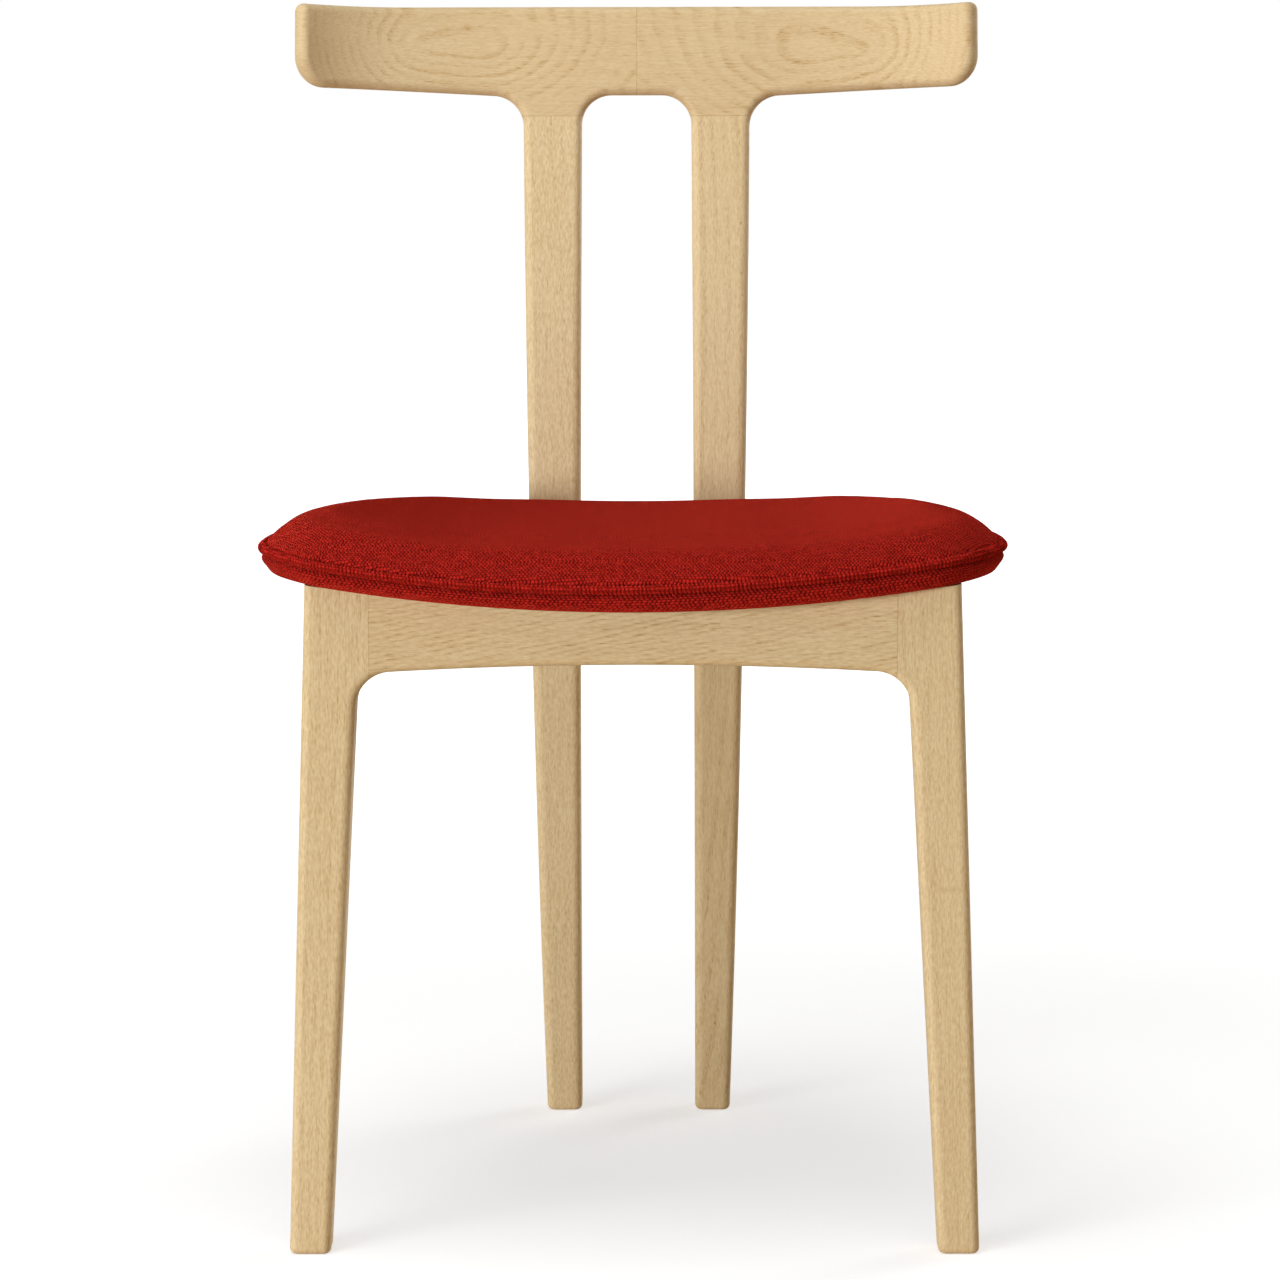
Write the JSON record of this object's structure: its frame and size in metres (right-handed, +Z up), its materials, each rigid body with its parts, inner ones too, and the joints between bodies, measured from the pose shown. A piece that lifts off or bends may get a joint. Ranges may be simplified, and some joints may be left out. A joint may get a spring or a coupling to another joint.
{
  "type": "side chair",
  "caption": "Side chair with a pale oak frame: splayed front legs, slender back posts, a curved top rail with wing-like ends, and a welted seat in red woven cloth.",
  "frame": {"origin": "on the floor, in the middle of the chair's box", "axes": "+Z up, the sitter faces -Y, +X to the right in the front view"},
  "size_m": [0.4774, 0.4902, 0.793],
  "materials": {
    "oak": "oiled, matt",
    "hardwood": "bare",
    "plywood": "bare",
    "red_cloth": "coarse woven wool",
    "foam": "open-cell foam",
    "dust_cloth": "thin felted cloth",
    "steel": "zinc plated"
  },
  "bodies": {
    "root": {"front_leg_right": "oak", "front_leg_left": "oak", "front_rail": "oak", "side_rail_right": "oak", "side_rail_left": "oak", "rear_rail": "oak", "back_post_right": "oak", "back_post_left": "oak", "top_rail_right": "oak", "top_rail_left": "oak", "top_rail_tenon": "hardwood", "post_tenons": "hardwood", "corner_block_right": "hardwood", "corner_block_left": "hardwood", "rear_block": "hardwood", "block_screws": "steel", "seat_shell": "plywood", "seat_foam": "foam", "seat_cover": "red_cloth", "seat_welt": "red_cloth", "seat_band": "red_cloth", "dust_cover": "dust_cloth", "dust_cover_staples": "steel", "seat_bolts": "steel", "seat_bolt_washers": "steel", "seat_tee_nuts": "steel", "front_rail_dowels": "hardwood", "side_rail_front_dowels": "hardwood", "side_rail_rear_dowels": "hardwood", "rear_rail_dowels": "hardwood"}
  },
  "joints": []
}
